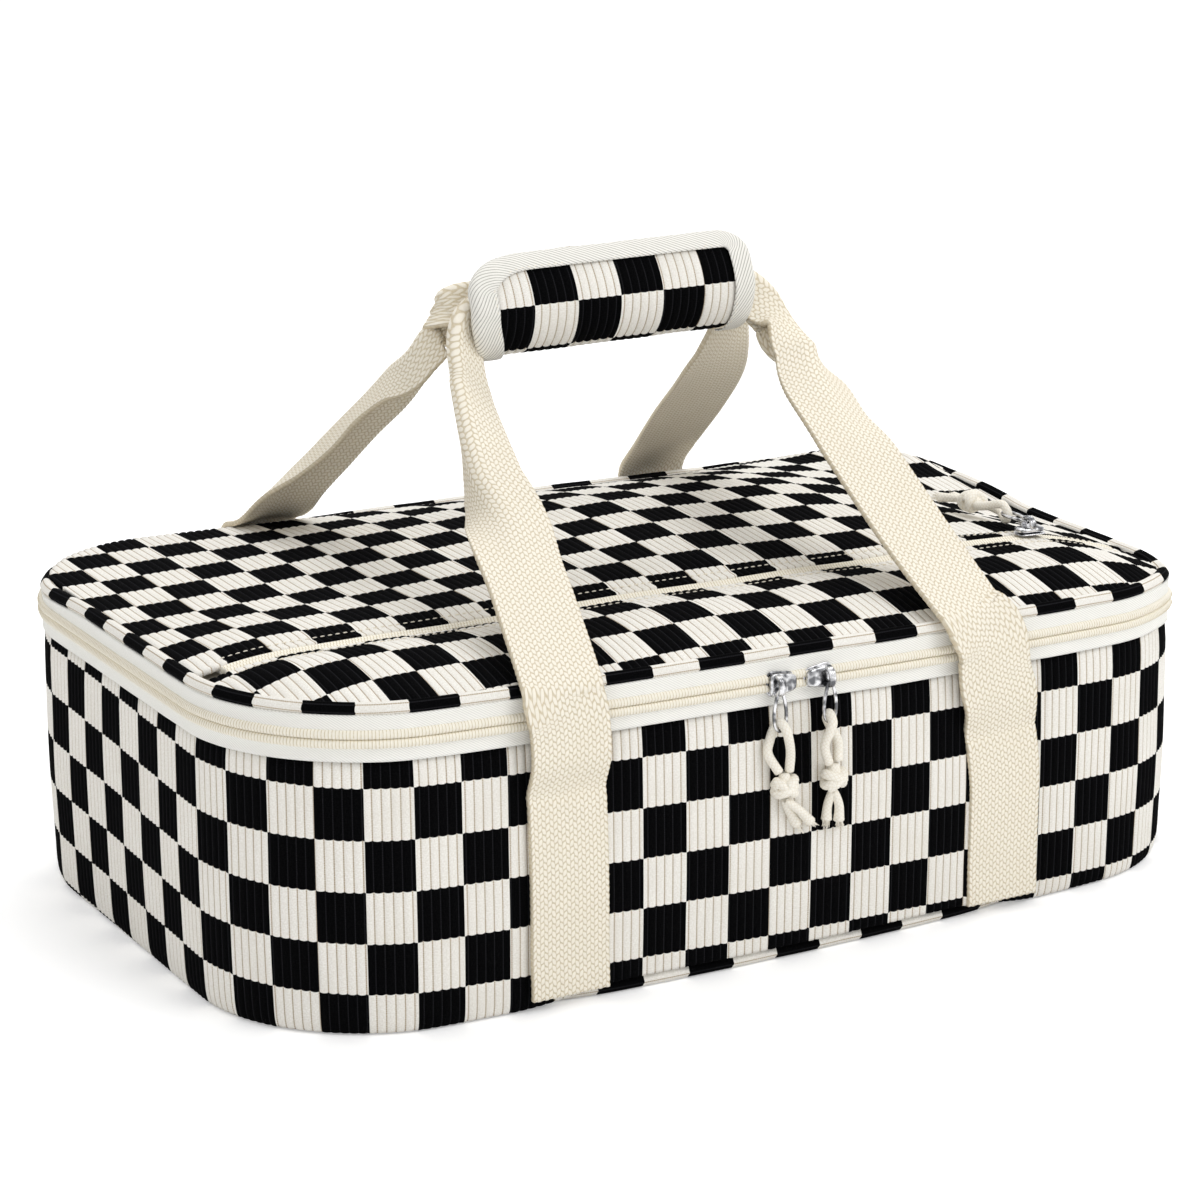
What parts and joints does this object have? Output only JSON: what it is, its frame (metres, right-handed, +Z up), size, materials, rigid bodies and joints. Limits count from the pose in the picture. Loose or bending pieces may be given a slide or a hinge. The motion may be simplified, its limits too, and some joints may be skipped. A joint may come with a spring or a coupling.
{
  "type": "casserole carrier",
  "caption": "Soft insulated box bag for a covered baking dish, with a zipped padded lid, flat zip pocket, webbing carry handles and a padded hook-and-loop grip wrap.",
  "frame": {"origin": "centre of the flat underside, on the surface the bag stands on", "axes": "+X along the bag to the right as seen from the front, +Y from the front to the back, +Z up"},
  "size_m": [0.4266, 0.2867, 0.2535],
  "materials": {
    "checked_cloth": "wide-wale corduroy printed in a black and cream check",
    "webbing": "natural cotton webbing with a coarse chevron weave",
    "white_tape": "ivory twill tape",
    "zip_coil": "cream nylon coil",
    "zip_metal": "bright nickel plating",
    "cord": "cream cotton cord, knotted, ends frayed",
    "foam": "closed-cell insulating foam",
    "lining": "heat-reflecting foil-faced lining",
    "board": "plain stiffener sheet",
    "hook_and_loop": "hook-and-loop tape"
  },
  "bodies": {
    "base": {"base_floor_cloth": "checked_cloth", "base_floor_foam": "foam", "base_piping": "checked_cloth", "base_wall_cloth": "checked_cloth", "base_wall_foam": "foam", "base_wall_lining": "lining", "base_floor_board": "board", "base_floor_lining": "lining", "zip_lower_tape": "white_tape", "zip_lower_coil": "zip_coil", "hinge_strip_lower": "checked_cloth", "front_left_sewn_strap": "webbing", "front_right_sewn_strap": "webbing", "rear_left_sewn_strap": "webbing", "rear_right_sewn_strap": "webbing"},
    "lid": {"zip_upper_coil": "zip_coil", "zip_upper_tape": "white_tape", "hinge_strip_upper": "checked_cloth", "lid_rear_panel": "checked_cloth", "lid_front_panel": "checked_cloth", "lid_piping": "checked_cloth", "pocket_coil_rear": "zip_coil", "pocket_coil_front": "zip_coil", "pocket_tape_rear": "white_tape", "pocket_tape_front": "white_tape", "lid_pocket_lining": "lining", "lid_foam": "foam", "lid_lining": "lining"},
    "front_handle": {"front_left_free_strap": "webbing", "front_right_free_strap": "webbing", "front_grip_webbing": "webbing"},
    "rear_handle": {"rear_left_free_strap": "webbing", "rear_right_free_strap": "webbing", "rear_grip_webbing": "webbing", "wrap_back_panel": "checked_cloth", "wrap_padding": "foam", "wrap_lining": "white_tape", "wrap_loop_tape": "hook_and_loop"},
    "wrap_flap": {"wrap_flap_panel": "checked_cloth", "wrap_flap_binding": "white_tape", "wrap_hook_tape": "hook_and_loop"},
    "left_slider": {"left_slider": "zip_metal"},
    "left_pull": {"left_pull_ring": "zip_metal", "left_pull_cord": "cord", "left_pull_knot": "cord", "left_pull_tails": "cord"},
    "right_slider": {"right_slider": "zip_metal"},
    "right_pull": {"right_pull_ring": "zip_metal", "right_pull_cord": "cord", "right_pull_knot": "cord", "right_pull_tails": "cord"},
    "pocket_slider": {"pocket_slider": "zip_metal"},
    "pocket_pull": {"pocket_pull_ring": "zip_metal", "pocket_pull_cord": "cord", "pocket_pull_knot": "cord", "pocket_pull_tails": "cord"}
  },
  "joints": [
    {"name": "lid_hinge", "type": "hinge", "parent": "base", "child": "lid", "pos_m": [0, 0.1376, 0.1115], "axis": [-1, 0, 0], "range_deg": [0, 105], "deforming": ["front_left_free_strap", "front_right_free_strap", "wrap_flap_panel", "wrap_flap_binding", "wrap_hook_tape"]},
    {"name": "front_handle_swing", "type": "hinge", "parent": "base", "child": "front_handle", "pos_m": [0, -0.1386, 0.0722], "axis": [1, 0, 0], "range_deg": [0, 139]},
    {"name": "rear_handle_swing", "type": "hinge", "parent": "base", "child": "rear_handle", "pos_m": [0, 0.1386, 0.0722], "axis": [-1, 0, 0], "range_deg": [0, 139]},
    {"name": "wrap_flap_swing", "type": "hinge", "parent": "rear_handle", "child": "wrap_flap", "pos_m": [0, -0.002, 0.2145], "axis": [1, 0, 0], "range_deg": [0, 135]},
    {"name": "left_slider_slide", "type": "slide", "parent": "base", "child": "left_slider", "axis": [-1, 0, 0], "range_m": [0, 0.055]},
    {"name": "left_pull_swing", "type": "hinge", "parent": "left_slider", "child": "left_pull", "pos_m": [-0.008, -0.1414, 0.1099], "axis": [-1, 0, 0], "range_deg": [0, 120]},
    {"name": "right_slider_slide", "type": "slide", "parent": "base", "child": "right_slider", "axis": [1, 0, 0], "range_m": [0, 0.055]},
    {"name": "right_pull_swing", "type": "hinge", "parent": "right_slider", "child": "right_pull", "pos_m": [0.008, -0.1414, 0.1099], "axis": [-1, 0, 0], "range_deg": [0, 120]},
    {"name": "pocket_slider_slide", "type": "slide", "parent": "lid", "child": "pocket_slider", "axis": [-1, 0, 0], "range_m": [0, 0.31]},
    {"name": "pocket_pull_swing", "type": "hinge", "parent": "pocket_slider", "child": "pocket_pull", "pos_m": [0.157, -0.0599, 0.136], "axis": [1, 0, 0], "range_deg": [0, 150]}
  ],
  "couplings": [
    {"joint": "front_handle_swing", "follows": "lid_hinge", "ratio": 1.32},
    {"joint": "rear_handle_swing", "follows": "lid_hinge", "ratio": 1.32}
  ]
}
